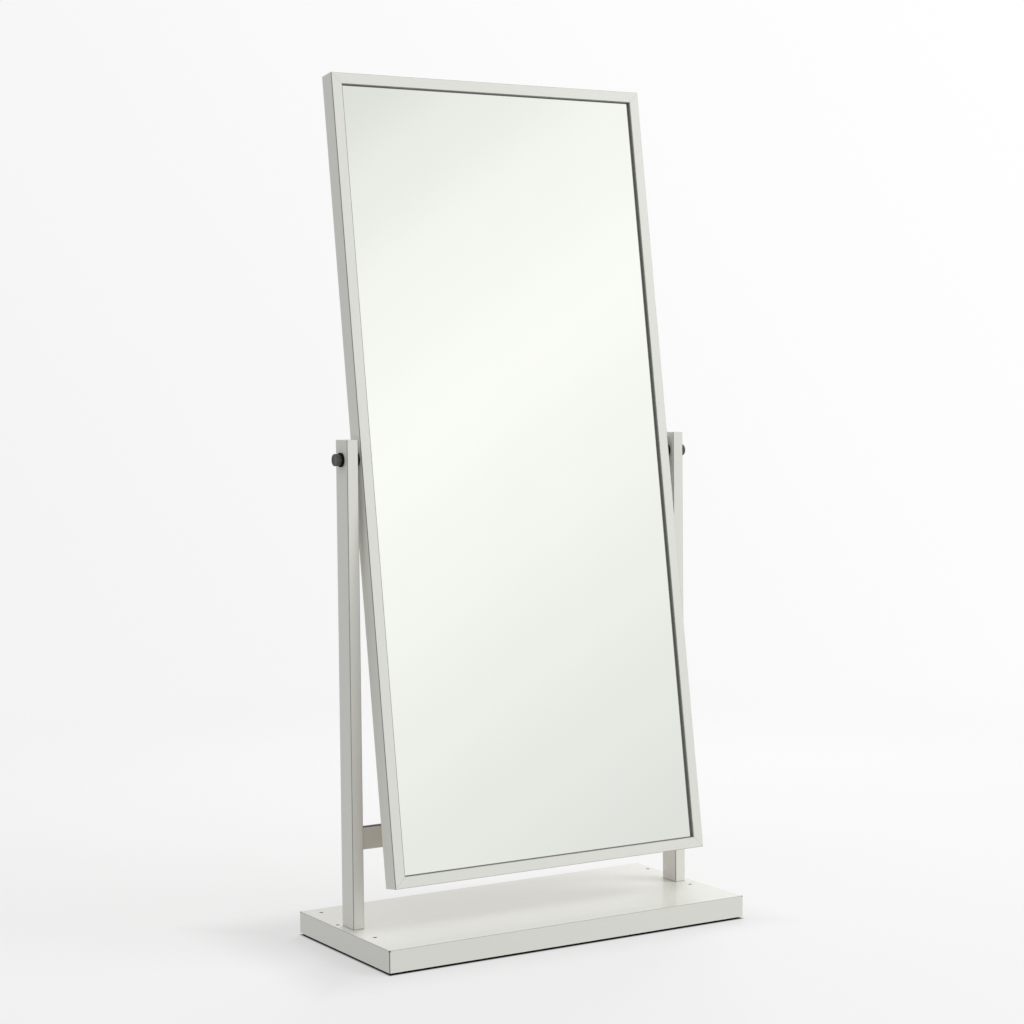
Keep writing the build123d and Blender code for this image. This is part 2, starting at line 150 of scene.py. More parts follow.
class Finish:
    """A node graph on a material or a world, and the shader that it feeds."""

    def __init__(self, owner):
        owner.use_nodes = True
        self.owner = owner
        self.nodes = owner.node_tree.nodes
        self.links = owner.node_tree.links

    def feed(self, socket, value):
        """Link an output to a socket, or set the socket to a number or a colour."""
        if isinstance(value, Socket):
            self.links.new(value.output, socket)
        else:
            socket.default_value = value

    def node(self, kind, settings=None, inputs=None, output=0):
        """Add a node: its settings first, then the values or links of its sockets."""
        made = self.nodes.new(kind)
        for name, value in (settings or {}).items():
            if name == "stops":
                self.set_stops(made.color_ramp, value)
            else:
                setattr(made, name, value)
        for name, value in (inputs or {}).items():
            self.feed(made.inputs[name], value)
        return Socket(self, made.outputs[output])

    def set_stops(self, ramp, stops):
        """Give a colour ramp its stops, as pairs of a place and a grey or a colour."""
        while len(ramp.elements) < len(stops):
            ramp.elements.new(1.0)
        for element, (place, shade) in zip(ramp.elements, stops):
            element.position = place
            element.color = shade if isinstance(shade, tuple) else (shade, shade, shade, 1)

    def shade(self, **sockets):
        """Feed the Principled shader, with the sockets' names in lower case."""
        shader = self.nodes["Principled BSDF"]
        for name, value in sockets.items():
            title = name.replace("_", " ").title().replace("Ior", "IOR")
            self.feed(shader.inputs[title], value)
        return self.owner

    def place(self):
        """Where a point is on the object, in metres."""
        return self.node("ShaderNodeTexCoord", output="Object")

    def facing(self):
        """The direction that the surface faces, on the object's own axes."""
        return self.node("ShaderNodeTexCoord", output="Normal")

    def stretch(self, vector, *factors):
        settings = {"operation": "MULTIPLY"}
        return self.node("ShaderNodeVectorMath", settings, {0: vector, 1: factors})

    def along(self, vector, direction):
        """How far a vector reaches along a direction."""
        settings = {"operation": "DOT_PRODUCT"}
        inputs = {0: vector, 1: tuple(direction)}
        return self.node("ShaderNodeVectorMath", settings, inputs, output="Value")

    def noise(self, vector, scale, detail=2.0, roughness=0.5):
        inputs = {"Vector": vector, "Scale": scale, "Detail": detail, "Roughness": roughness}
        return self.node("ShaderNodeTexNoise", inputs=inputs)

    def cells(self, vector, scale, feature="F1", output="Distance"):
        inputs = {"Vector": vector, "Scale": scale}
        return self.node("ShaderNodeTexVoronoi", {"feature": feature}, inputs, output)

    def between(self, value, low, high):
        """A smooth step: 0 at low, 1 at high, and it may fall as well as rise."""
        inputs = {"Value": value, "From Min": low, "From Max": high}
        return self.node("ShaderNodeMapRange", {"interpolation_type": "SMOOTHSTEP"}, inputs)

    def ramp(self, value, *stops):
        made = self.node("ShaderNodeValToRGB", {"stops": stops}, {"Fac": value})
        made.output.node.color_ramp.interpolation = "EASE"
        return made

    def mix(self, mask, first, second):
        settings = {"data_type": "RGBA", "blend_type": "MIX"}
        return self.node("ShaderNodeMix", settings, {0: mask, 6: first, 7: second}, output=2)

    def bump(self, height, depth):
        inputs = {"Height": height, "Distance": depth, "Strength": 1.0}
        return self.node("ShaderNodeBump", inputs=inputs, output="Normal")


def new_finish(name):
    return Finish(bpy.data.materials.new(name))


def tone(red, green, blue):
    """A colour given as it looks on a display, 0 to 255, turned into light."""
    levels = [value / 255 for value in (red, green, blue)]
    return tuple(((v + 0.055) / 1.055) ** 2.4 if v > 0.04 else v / 12.92 for v in levels) + (1,)


print("a middle grey of 128 is", round(tone(128, 128, 128)[0], 3), "as light")

# %% [markdown]
# ## Camera
#
# The mirror is seen from its left front, a little above its middle, with a long lens from
# four metres, as in a catalogue. A long lens keeps the uprights nearly parallel. The aim point
# and the distance are shares of the object's height, so they follow the model. A camera could
# be aimed with a Track To constraint, but a matrix also takes the slight roll.

# %% Place the camera
camera_turn = math.radians(-31.23)
camera_rise = math.radians(3.34)
camera_roll = math.radians(-0.558)
camera_distance = 2.6627 * cad_size.z
sensor_width = 36
focal_length = 79.79
aim = Vector((-0.0110 * cad_size.z, 0, cad_low.z + 0.49366 * cad_size.z))


def camera_axes():
    """Right, up and back of the camera, after its roll."""
    back = Vector((
        math.sin(camera_turn) * math.cos(camera_rise),
        -math.cos(camera_turn) * math.cos(camera_rise),
        math.sin(camera_rise),
    ))
    level = upward.cross(back).normalized()
    upright = back.cross(level)
    right = level * math.cos(camera_roll) + upright * math.sin(camera_roll)
    return right, back.cross(right), back


eye_right, eye_up, eye_back = camera_axes()
lens = bpy.data.cameras.new("catalogue_lens")
lens.sensor_width = sensor_width
lens.lens = focal_length
camera = bpy.data.objects.new("catalogue_camera", lens)
bpy.context.scene.collection.objects.link(camera)
camera.matrix_world = Matrix((eye_right, eye_up, eye_back)).transposed().to_4x4()
camera.location = aim + eye_back * camera_distance
bpy.context.scene.camera = camera
print("camera at", [round(value, 3) for value in camera.location])

# %% [markdown]
# ## Floor
#
# A studio floor has no edge in the picture. A curved backdrop would do that from one side
# only, and would stand in the way of a view from behind. Here the floor is a wide disc that
# turns transparent towards its rim, so it melts into the pale surroundings on all sides.
# It is a light table: part of its light is its own, which keeps the shadows soft and pale.
# The glow is dimmer in a soft rim round the base, a little to the lee of the key light: a
# painted shadow. Under the base the glow is off and the paint is dark, a painted shadow that
# keeps the narrow gap there dark. The table lights nothing else: the room's lower half, further
# on, does that for it.

# %% Make the floor
floor_radius = 9.0
floor_clear_from = 1.1
floor_clear_at = 3.6
floor_glow = 0.60
floor_dim = 0.49
shade_shift = 0.05
shade_starts = -0.02
shade_ends = 0.16
base_shadow_edge = 0.004


def even(level):
    """A grey of that level, as light."""
    return (level, level, level, 1)


def make_floor():
    """A wide disc on the ground."""
    mesh = bpy.data.meshes.new("studio_floor")
    made = bmesh.new()
    bmesh.ops.create_circle(made, cap_ends=True, radius=floor_radius, segments=96)
    made.to_mesh(mesh)
    made.free()
    floor = bpy.data.objects.new("studio_floor", mesh)
    bpy.context.scene.collection.objects.link(floor)
    return floor


def floor_finish():
    """Pale paint that glows, with a painted shadow near the base and under it, and clear at the rim.
    """
    paint = new_finish("studio_floor_paint")
    where = paint.place()
    flat = paint.stretch(where, 1, 1, 0)
    distance = paint.node("ShaderNodeVectorMath", {"operation": "LENGTH"}, {0: flat}, "Value")
    cloud = paint.noise(where, 1.3, detail=1)
    colour = paint.mix(cloud, tone(131, 131, 131), tone(134, 134, 134))
    low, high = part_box("base_cover")
    middle = (low + high) / 2
    from_side = paint.along(where, across) - middle.x
    from_front = paint.along(where, front_to_back) - middle.y

    def past_base(shift):
        """How far a point lies outside the base, when the base is moved by a shift."""
        beside = abs(from_side + shift) - (high.x - middle.x)
        return beside.at_least(abs(from_front - shift) - (high.y - middle.y))

    # painted shadow: the glow is dimmer in a soft rim round the base, shifted to the lee of the key
    # light
    lit = paint.between(past_base(shade_shift), shade_starts, shade_ends)
    glow = paint.mix(lit, even(floor_dim), even(floor_glow))
    # painted shadow under the base: no glow there, and a dark paint
    beyond_base_shadow = paint.between(past_base(0), -base_shadow_edge, base_shadow_edge)
    glow = paint.mix(beyond_base_shadow, even(0), glow)
    colour = paint.mix(beyond_base_shadow, tone(24, 24, 24), colour)
    solid = 1 - paint.between(distance, floor_clear_from, floor_clear_at)
    return paint.shade(base_color=colour, emission_color=glow, emission_strength=1.0,
                       roughness=0.85, alpha=solid, specular_ior_level=0.2)


floor = make_floor()
floor.data.materials.append(floor_finish())
floor.visible_diffuse = False
print("floor of", floor_radius * 2, "metres across")

# %% [markdown]
# ## Light
#
# The studio is bright all round, so most of the light comes from the room itself, with less
# from the camera's side. A big soft light at the right front makes the front faces brighter
# than the sides, a weaker one nearer to the middle fills the front, and one at the back right
# lights the base behind the glass. Area lights alone would leave hard dark sides on pale paint.
# They are hidden from reflections, so none shows as a white square in the glossy cover.
# The glass shows the camera one thing only: the part of the room that lies in the mirrored
# view. A slanted band of light is painted there.
#
# That band, the dimmer side of the room and the slow fade of the backdrop are laid out from the
# camera's directions, and from then on they stay where they are in the room. They belong to
# the studio, not to the mirror, so from another place the glass shows another part of the room.
# A pair such as `dim_side` holds two cosines: the effect starts at one and is full at the other.
# `glass_band` lists places across the band, and how bright it is there.

# %% Light the studio
backdrop_dim = tone(243, 243, 243)
backdrop_bright = tone(255, 255, 255)
band_turn = math.radians(53)
backdrop_slant = (1.6, 1.1)
backdrop_start = 0.45
backdrop_fade = (-0.15, 1.15)
room_light = 0.75
near_camera_dark = 0.5
dim_side = (0.55, 1.0)
overhead_light = 0.22
overhead_side = (0.35, 1.0)
floor_bounce = 0.53
floor_line = 0.05
least_ahead = 0.05
band_steepness = 2.0
glass_band = (
    (0.0, 0.70), (0.12, 0.77), (0.20, 0.87), (0.28, 0.95), (0.40, 1.0),
    (0.50, 0.95), (0.61, 0.89), (0.69, 0.84), (0.82, 0.77), (1.0, 0.72),
)


def mirrored(direction):
    """A direction after its bounce in the glass."""
    return direction - 2 * direction.dot(outward) * outward


def light_the_room():
    """A world that gives paint, glass and camera each a light of their own."""
    world = bpy.data.worlds.new("studio_room")
    bpy.context.scene.world = world
    room = Finish(world)
    looking = room.node("ShaderNodeTexCoord", output="Generated")
    ahead = room.along(looking, mirrored(-eye_back))
    across_band = mirrored(eye_right) * math.cos(band_turn) - mirrored(eye_up) * math.sin(band_turn)
    sideways = room.along(looking, across_band)
    slope = sideways / ahead.at_least(least_ahead)
    band = room.ramp(slope * band_steepness + 0.5, *glass_band)
    height = room.along(looking, upward)
    beside_camera = room.between(room.along(looking, eye_back), *dim_side)
    overhead = room.between(height, *overhead_side)
    above_floor = room.between(height, -floor_line, floor_line)
    walls = (1 - beside_camera * near_camera_dark) * room_light + overhead * overhead_light
    diffuse = above_floor * walls + (1 - above_floor) * floor_bounce
    lights_paint = room.node("ShaderNodeLightPath", output="Is Diffuse Ray")
    seen = room.node("ShaderNodeLightPath", output="Is Camera Ray")
    lit = room.mix(lights_paint, band, diffuse)
    aside = room.along(looking, eye_right) * backdrop_slant[0]
    sweep = aside + room.along(looking, eye_up) * backdrop_slant[1] + backdrop_start
    backdrop = room.mix(room.between(sweep, *backdrop_fade), backdrop_dim, backdrop_bright)
    shown = room.mix(seen, lit, backdrop)
    room.feed(room.nodes["Background"].inputs["Color"], shown)


def soft_light(name, turn, rise, distance, size, power):
    """A square soft light that looks at the middle of the mirror and shows in no reflection."""
    data = bpy.data.lights.new(name, "AREA")
    data.shape = "SQUARE"
    data.size = size
    data.energy = power
    light = bpy.data.objects.new(name, data)
    bpy.context.scene.collection.objects.link(light)
    turn = math.radians(turn)
    rise = math.radians(rise)
    back = Vector((math.sin(turn) * math.cos(rise), -math.cos(turn) * math.cos(rise), math.sin(rise)))
    light.location = aim + back * distance
    light.rotation_mode = "QUATERNION"
    light.rotation_quaternion = back.to_track_quat("Z", "Y")
    light.visible_glossy = False


light_the_room()
soft_light("key_light", turn=50, rise=31, distance=6.5, size=3.25, power=162)
soft_light("front_light", turn=12, rise=12, distance=5.0, size=2.5, power=40)
soft_light("rear_light", turn=138, rise=32, distance=3.4, size=1.6, power=54)
bpy.context.scene.view_settings.view_transform = "Standard"

# %% [markdown]
# ## Painted steel
#
# The base, the posts and the frame wear the same satin powder coat, a warm light grey. Powder
# melts into a skin with tiny ripples called orange peel, and it drifts slightly in tone. An even
# grey with a gloss value would look like plastic, so the coat gets ripples as bump and a slow
# drift of tone. Where the surface turns from one flat side to the next, a darker line is painted:
# painted shade on the folds. That line comes from the normal: on a flat side it lies along an axis.

# %% Sharp folds, from the normal
coat_grey = tone(221, 221, 215)
# painted shade: the grey laid along the sharp folds
fold_shade_grey = tone(116, 115, 110)
# painted shade: the darker grey laid in the seams, the post joints and the outer folds
joint_shade_grey = tone(66, 65, 62)
fold_turn = (0.015, 0.16)
world_axes = (across, front_to_back, upward)
panel_axes = (across, up_the_glass, outward)


def turned_edges(finish, axes):
    """1 where the surface turns between flat sides that face along the axes, else 0."""
    facing = finish.facing()
    reach = [abs(finish.along(facing, axis)) for axis in axes]
    flatness = reach[0].at_least(reach[1]).at_least(reach[2])
    return finish.between(1 - flatness, *fold_turn)


print("fold mask ready")

# %% [markdown]
# ## Joints that are finer than the mesh
#
# Some joints are too fine to show at this size: the open seams at the cover's corners, with a
# small round relief at the top of each, the line where a post stands on the cover, and the
# outermost folds of the frame's sides. The shade that falls in them is painted: a dark line in
# the paint, chosen by where the point lies. The distances are measured from the parts
# themselves. Each pair holds the distance at which a line has faded out, and the smaller one
# from which it is full.

# %% Painted shade at seams, joints and outer folds
seam_reach = (1.5 * mm, 1.0 * mm)
relief_reach = (3.2 * mm, 2.4 * mm)
seam_shade_darkness = 0.85
joint_reach = (1.9 * mm, 0.9 * mm)
foot_shade_darkness = 0.4
fold_reach = (2.2 * mm, 1.6 * mm)
fold_shade_darkness = 0.7
fold_narrowing = 3


def reach_of(node, direction):
    """How far a part reaches along a direction, in metres."""
    points = np.empty(len(frame["nodes"][node].data.vertices) * 3)
    frame["nodes"][node].data.vertices.foreach_get("co", points)
    return float((points.reshape(-1, 3) @ np.array(direction)).max())


def cover_seam_shade(coat, where):
    """Painted shade in the seams at the cover's open corners, and in the round relief at their tops.
    """
    low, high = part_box("base_cover")
    middle = (low + high) / 2
    inset_x = high.x - middle.x - abs(coat.along(where, across) - middle.x)
    inset_y = high.y - middle.y - abs(coat.along(where, front_to_back) - middle.y)
    inset = inset_x.at_least(inset_y)
    depth = high.z - coat.along(where, upward)
    seam = coat.between(inset, *seam_reach)
    relief = coat.between(inset.at_least(depth), *relief_reach)
    # painted shade in the seam and in the relief
    return seam.at_least(relief) * seam_shade_darkness


def post_foot_shade(coat, where):
    """Painted contact shade along the joint where a post stands on the cover."""
    above_cover = coat.along(where, upward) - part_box("left_post")[0].z
    # painted contact shade along the foot of each post
    return coat.between(above_cover, *joint_reach) * foot_shade_darkness


def stile_fold_shade(coat, where):
    """Painted shade on the sharp outer folds of the frame's sides."""
    beside = reach_of("frame_right", across) - abs(coat.along(where, across))
    behind = reach_of("frame_left", outward) - coat.along(where, outward)
    # painted shade on the outermost folds of the frame
    return coat.between((beside * fold_narrowing).at_least(behind), *fold_reach) * fold_shade_darkness


print("joint masks ready")

# %% [markdown]
# ## The coat itself
#
# The coat is one recipe with two masks of painted shade over it: the folds and the joints. The
# cover is glossier than the posts and the frame. Fine specks of dust are small Voronoi cells with a
# narrow step.

# %% Powder coat
def powder_coat(name, axes, gloss, peel_depth, painted_shade_places):
    """Satin paint on flat sides that face along the axes; painted_shade_places gives the painted shade
    at its joints.
    """
    coat = new_finish(name)
    where = coat.place()
    drift = coat.noise(where, 5.5, detail=3)
    mottle = coat.noise(where, 60, detail=2)
    peel = coat.noise(where, 560, detail=2.5, roughness=0.55)
    dust = coat.between(coat.cells(where, 230), 0.055, 0.02)
    edges = turned_edges(coat, axes)
    # painted shade along the sharp folds, from the fold mask
    fold_shade = edges * (0.7 + mottle * 0.3)
    colour = coat.mix(fold_shade, coat_grey, fold_shade_grey)
    # painted shade in the seams and joints
    colour = coat.mix(painted_shade_places(coat, where), colour, joint_shade_grey)
    colour = coat.mix(drift * 0.05, colour, tone(205, 204, 196))
    colour = coat.mix(dust * 0.25, colour, tone(150, 148, 142))
    roughness = gloss + drift * 0.06 + mottle * 0.05 + dust * 0.2
    normal = coat.bump(peel + dust * 0.6, peel_depth)
    return coat.shade(base_color=colour, roughness=roughness, normal=normal)


finishes = {
    "cover_paint": powder_coat("cover_paint_coat", world_axes, 0.11, 0.008 * mm, cover_seam_shade),
    "post_paint": powder_coat("post_paint_coat", world_axes, 0.36, 0.020 * mm, post_foot_shade),
    "frame_paint": powder_coat("frame_paint_coat", panel_axes, 0.33, 0.020 * mm, stile_fold_shade),
}
print("coats:", sorted(finishes))

# %% [markdown]
# ## Silvered glass
#
# A mirror is clear glass with silver and a grey lacquer on its back. Seen from the front it is
# all reflection, with a faint green cast. The edge shows the glass itself, and the back shows
# the lacquer. One material does all three: a mask from the direction that the surface faces
# turns the metal on at the front only. The roughness stays near zero, with faint wiping marks.

# %% Mirror
def silvered_glass():
    glass = new_finish("silvered_glass")
    where = glass.place()
    face = glass.along(glass.facing(), outward)
    front = glass.between(face, 0.6, 0.9)
    back = glass.between(face, -0.6, -0.9)
    wiping = glass.noise(glass.stretch(where, 9, 9, 1.6), 1.0, detail=4)
    grain = glass.noise(where, 400, detail=2)
    lacquer = glass.mix(grain, tone(110, 112, 115), tone(126, 128, 131))
    edge = glass.mix(grain, tone(118, 160, 148), tone(140, 184, 170))
    body = glass.mix(back, edge, lacquer)
    silver = glass.mix(wiping, tone(249, 252, 244), tone(251, 252, 247))
    colour = glass.mix(front, body, silver)
    smear = glass.between(wiping, 0.56, 0.78)
    roughness = glass.mix(front, (0.35, 0.35, 0.35, 1), smear * 0.035)
    return glass.shade(base_color=colour, metallic=front, roughness=roughness)


finishes["mirror_silver"] = silvered_glass()
print("mirror finish:", finishes["mirror_silver"].name)

# %% [markdown]
# ## Plastic and rubber
#
# The knobs are moulded in hard black plastic with a fine spark texture, so they have a soft
# sheen. The washers at the pivots and the feet are rubber: blacker, quite matt, and a little
# dusty. All share one recipe: a plain colour, a fine grain as bump, and pale dust. In other
# tones it also serves the grey lining round the glass, the strip on the rail and the pale nylon
# of the bushes. The lining and the strip are darker than the paint beside them, so they also
# paint the shade in the frame's reveal and on the rail's top: partly painted shade.

# %% Moulded plastic and rubber
dust_amount = 0.12


def moulded(name, colour, dusty, gloss, grain_scale, grain_depth, shine=0.5):
    """A moulding's skin; dusty is its colour where dust lies."""
    skin = new_finish(name)
    where = skin.place()
    grain = skin.noise(where, grain_scale, detail=3, roughness=0.6)
    patches = skin.noise(where, 90, detail=3)
    dust = skin.between(patches, 0.48, 0.75) * dust_amount
    base = skin.mix(dust, colour, dusty)
    roughness = gloss + patches * 0.12 + dust * 0.4
    return skin.shade(base_color=base, roughness=roughness, specular_ior_level=shine,
                      normal=skin.bump(grain, grain_depth))


finishes["knob_plastic"] = moulded(
    "knob_moulding", tone(72, 72, 69), tone(118, 116, 112), 0.26, 2600, 0.020 * mm)
finishes["black_washer"] = moulded(
    "washer_moulding", tone(9, 9, 9), tone(44, 43, 42), 0.62, 1800, 0.030 * mm, shine=0.15)
finishes["foot_rubber"] = moulded(
    "foot_rubber_black", tone(12, 12, 12), tone(70, 69, 66), 0.60, 1400, 0.045 * mm, shine=0.15)
# partly painted shade: the lining is darker than the frame, so the frame's reveal reads as shaded
finishes["gasket_rubber"] = moulded(
    "glass_lining_dark_as_shade", tone(112, 112, 108), tone(140, 139, 134), 0.50, 2000, 0.020 * mm)
# partly painted shade: the strip is dark, so the rail's top reads as shaded
finishes["dark_strip"] = moulded(
    "rail_strip_dark_as_shade", tone(40, 40, 40), tone(96, 95, 92), 0.50, 1500, 0.030 * mm)
finishes["bush_nylon"] = moulded(
    "bush_nylon_natural", tone(226, 222, 208), tone(205, 200, 184), 0.38, 900, 0.015 * mm)
print("moulded finishes:", len(finishes))

# %% [markdown]
# ## Bare and plated metal
#
# Screws are zinc plated: bright, with a faint blue and straw mottle. The screws in the cover
# are blackened. The ballast is hot rolled plate with its dark blue skin of mill scale, rubbed
# bright here and there, with specks of rust. The corner keys are grey zinc castings.

# %% Metals
def plated(name, cool, straw, gloss, scale):
    plate = new_finish(name)
    where = plate.place()
    tint = plate.noise(where, scale, detail=3)
    scratches = plate.noise(plate.stretch(where, 1, 1, 12), scale * 9, detail=2)
    colour = plate.mix(plate.between(tint, 0.35, 0.7), cool, straw)
    roughness = gloss + tint * 0.14 + scratches * 0.08
    normal = plate.bump(scratches, 0.008 * mm)
    return plate.shade(base_color=colour, metallic=1.0, roughness=roughness, normal=normal)


def mill_scale():
    steel = new_finish("ballast_mill_scale")
    where = steel.place()
    clouds = steel.noise(where, 14, detail=6, roughness=0.65)
    rubbed = steel.between(steel.noise(where, 38, detail=5), 0.58, 0.7)
    rust = steel.between(steel.noise(where, 160, detail=4), 0.66, 0.74)
    colour = steel.mix(clouds, tone(52, 56, 64), tone(84, 86, 92))
    colour = steel.mix(rubbed * 0.6, colour, tone(140, 141, 145))
    colour = steel.mix(rust, colour, tone(112, 66, 40))
    metallic = 0.85 - rust * 0.8
    roughness = 0.62 - rubbed * 0.25 + rust * 0.25
    normal = steel.bump(clouds + rust * 0.5, 0.06 * mm)
    return steel.shade(base_color=colour, metallic=metallic, roughness=roughness, normal=normal)


finishes["zinc_steel"] = plated("zinc_plate", tone(186, 192, 200), tone(204, 200, 184), 0.24, 300)
finishes["dark_screw"] = plated("blackened_steel", tone(92, 92, 94), tone(120, 116, 110), 0.28, 400)
finishes["key_zinc"] = plated("cast_zinc", tone(150, 152, 156), tone(168, 168, 166), 0.46, 120)
finishes["ballast_steel"] = mill_scale()
print("metal finishes made; total", len(finishes))

# %% [markdown]
# ## Boards and foam
#
# Behind the glass is a hardboard panel: brown pressed fibre, whose rough side carries the print
# of the wire mesh that it was pressed on. Under the cover is chipboard, which shows its flakes.
# The double-sided tape is a pale foam with fine pores. Wood fibre is not a repeating pattern, so
# several noises of different sizes and directions are laid over each other.

# %% Wood and foam
def hardboard():
    board = new_finish("hardboard_back")
    where = board.place()
    clouds = board.noise(where, 9, detail=5)
    fibres = board.noise(board.stretch(where, 1, 2.5, 2.5), 420, detail=5, roughness=0.65)
    wisps = board.noise(board.stretch(where, 3.5, 1, 1), 260, detail=4, roughness=0.6)
    colour = board.mix(fibres, tone(116, 84, 56), tone(168, 130, 92))
    colour = board.mix(board.between(wisps, 0.5, 0.8) * 0.6, colour, tone(88, 62, 42))
    colour = board.mix(board.between(clouds, 0.35, 0.7) * 0.45, colour, tone(164, 130, 94))
    mesh_print = board.cells(board.stretch(where, 620, 620, 620), 1.0)
    normal = board.bump(mesh_print * 0.5 + fibres * 0.5, 0.12 * mm)
    return board.shade(base_color=colour, roughness=0.7 + fibres * 0.2, normal=normal)


def chipboard():
    board = new_finish("chipboard_core")
    where = board.place()
    squashed = board.stretch(where, 1, 1, 2.6)
    flake = board.cells(squashed, 260, output="Color")
    grey = board.node("ShaderNodeRGBToBW", inputs={"Color": flake})
    rims = board.cells(squashed, 260, "DISTANCE_TO_EDGE")
    fine = board.noise(where, 700, detail=4)
    colour = board.mix(grey, tone(164, 128, 88), tone(214, 182, 138))
    colour = board.mix(fine * 0.4, colour, tone(122, 90, 60))
    gaps = 1 - board.between(rims, 0.0, 0.08)
    colour = board.mix(gaps * 0.6, colour, tone(84, 60, 40))
    return board.shade(base_color=colour, roughness=0.82, normal=board.bump(rims, 0.15 * mm))


def foam():
    pad = new_finish("mounting_foam")
    where = pad.place()
    pores = pad.cells(where, 1800)
    colour = pad.mix(pores, tone(238, 236, 228), tone(206, 203, 194))
    return pad.shade(base_color=colour, roughness=0.9, normal=pad.bump(pores, 0.08 * mm))


finishes["hardboard"] = hardboard()
finishes["chipboard"] = chipboard()
finishes["foam_tape"] = foam()
print("finishes:", len(finishes))

# %% [markdown]
# ## Give the engineering parts their finishes
#
# Each part of the model carries the name of its material slot. The shapes that are right as
# they are keep their mesh, and only the material in the slot changes.

# %% Assign finishes to the parts
slot_names = {name: part.data.materials[0].name for name, part in frame["nodes"].items()}
for node_name, part in frame["nodes"].items():
    part.data.materials[0] = finishes[slot_names[node_name]]
print("parts with a finish:", len(slot_names))

# %% [markdown]
# ## Small parts: find them in the model
#
# Screws, feet and knobs are small, so the engineering model keeps them plain. Each one gets a
# finer mesh here. Where they stand is not typed in again: a part such as `cover_screws` holds
# six loose solids, so its mesh is welded and split into islands, and each island says where
# one screw is, which radius it has and how far it reaches along its axis.

# %% Islands of a part
def islands(node):
    """The loose solids of a part, each as an array of its corner points."""
    made = bmesh.new()
    made.from_mesh(frame["nodes"][node].data)
    bmesh.ops.remove_doubles(made, verts=made.verts, dist=0.001 * mm)
    found = []
    waiting = set(made.verts)
    while waiting:
        edge_of_search = [waiting.pop()]
        group = []
        while edge_of_search:
            corner = edge_of_search.pop()
            group.append(tuple(corner.co))
            linked = {edge.other_vert(corner) for edge in corner.link_edges} & waiting
            waiting -= linked
            edge_of_search.extend(linked)
        found.append(np.array(group))
    made.free()
    return found


def stations(node, direction):
    """For each solid of a part: the foot and the head of its axis along a direction."""
    direction = Vector(direction).normalized()
    placed = []
    for points in islands(node):
        reach = points @ np.array(direction)
        middle = Vector((points.max(0) + points.min(0)) / 2)
        base = middle - direction * (middle.dot(direction) - reach.min())
        tip = middle - direction * (middle.dot(direction) - reach.max())
        placed.append((base, tip))
    placed.sort(key=lambda pair: tuple(round(value, 4) for value in pair[0]))
    return placed


print("cover screws found:", len(stations("cover_screws", upward)))

# %% [markdown]
# ## Turned parts
#
# A lathe cuts one outline all the way round, and so does the helper here. The outline is a
# short list of stations, each a distance along the axis and a radius, and `rounded` breaks its
# corners with small arcs. Blender's Screw modifier could spin a drawn curve too, but a grid
# of points made in code is easy to thread, to place and to print.

# %% Lathe
def rounded(outline, radius, steps=4):
    """The outline with its corners broken by arcs; radius is one value, or one per corner."""
    radii = radius if isinstance(radius, (list, tuple)) else [radius] * len(outline)
    made = [Vector(outline[0])]
    for before, corner, after, wanted in zip(outline, outline[1:], outline[2:], radii[1:]):
        corner = Vector(corner)
        back = Vector(before) - corner
        onward = Vector(after) - corner
        room = 0.45 * min(back.length, onward.length)
        turn = back.angle(onward)
        cut = min(room, wanted / max(math.tan(turn / 2), 0.01))
        first = corner + back.normalized() * cut
        last = corner + onward.normalized() * cut
        for step in range(steps + 1):
            t = step / steps
            made.append(first * (1 - t) ** 2 + corner * 2 * t * (1 - t) + last * t ** 2)
    made.append(Vector(outline[-1]))
    return made


def axes_along(direction):
    """A turning matrix whose Z axis is the direction."""
    return Vector(direction).to_track_quat("Z", "Y").to_matrix()


def spin(made, outline, origin, direction, sides, closed=False, ripple=None):
    """Turn an outline about an axis into a mesh under construction."""
    turning = axes_along(direction)
    rings = []
    for along, radius in outline:
        ring = []
        for step in range(sides if radius > 0.0001 * mm else 1):
            angle = math.tau * step / sides
            reach = radius if ripple is None else ripple(along, radius, angle)
            spot = Vector((reach * math.cos(angle), reach * math.sin(angle), along))
            ring.append(made.verts.new(origin + turning @ spot))
        rings.append(ring)
    pairs = list(zip(rings, rings[1:]))
    if closed:
        pairs.append((rings[-1], rings[0]))
    for lower, upper in pairs:
        for step in range(sides):
            after = (step + 1) % sides
            corners = [lower[step % len(lower)], lower[after % len(lower)],
                       upper[after % len(upper)], upper[step % len(upper)]]
            corners = list(dict.fromkeys(corners))
            if len(corners) > 2:
                made.faces.new(corners)


def piece_from(made, name, body, slot, node, sharp=32):
    """Finish a mesh under construction as a piece that stands for an engineering part."""
    bmesh.ops.recalc_face_normals(made, faces=made.faces)
    mesh = bpy.data.meshes.new(name)
    made.to_mesh(mesh)
    made.free()
    mesh.shade_smooth()
    mesh.set_sharp_from_angle(angle=math.radians(sharp))
    piece = bpy.data.objects.new(name, mesh)
    bpy.context.scene.collection.objects.link(piece)
    mesh.materials.append(finishes[slot])
    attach(piece, body)
    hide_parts(node)
    print(f"{name}: {len(mesh.polygons)} faces, rides on {body}")


both_sides = (("left", -across), ("right", across))
print("lathe ready")

# %% [markdown]
# ## Clamp knobs
#
# Each post carries a spool-shaped knob: a round head with a shallow dish in its end, a waist
# that gives the fingers a hold, and a low collar towards the washer. The outline runs from the
# collar to the middle of the dish, all in shares of the model's own knob, so a knob of another
# size keeps its look. A bevel on a cylinder could round the rim, but not sink the dish.

# %% Turn the knobs
knob_sides = 120


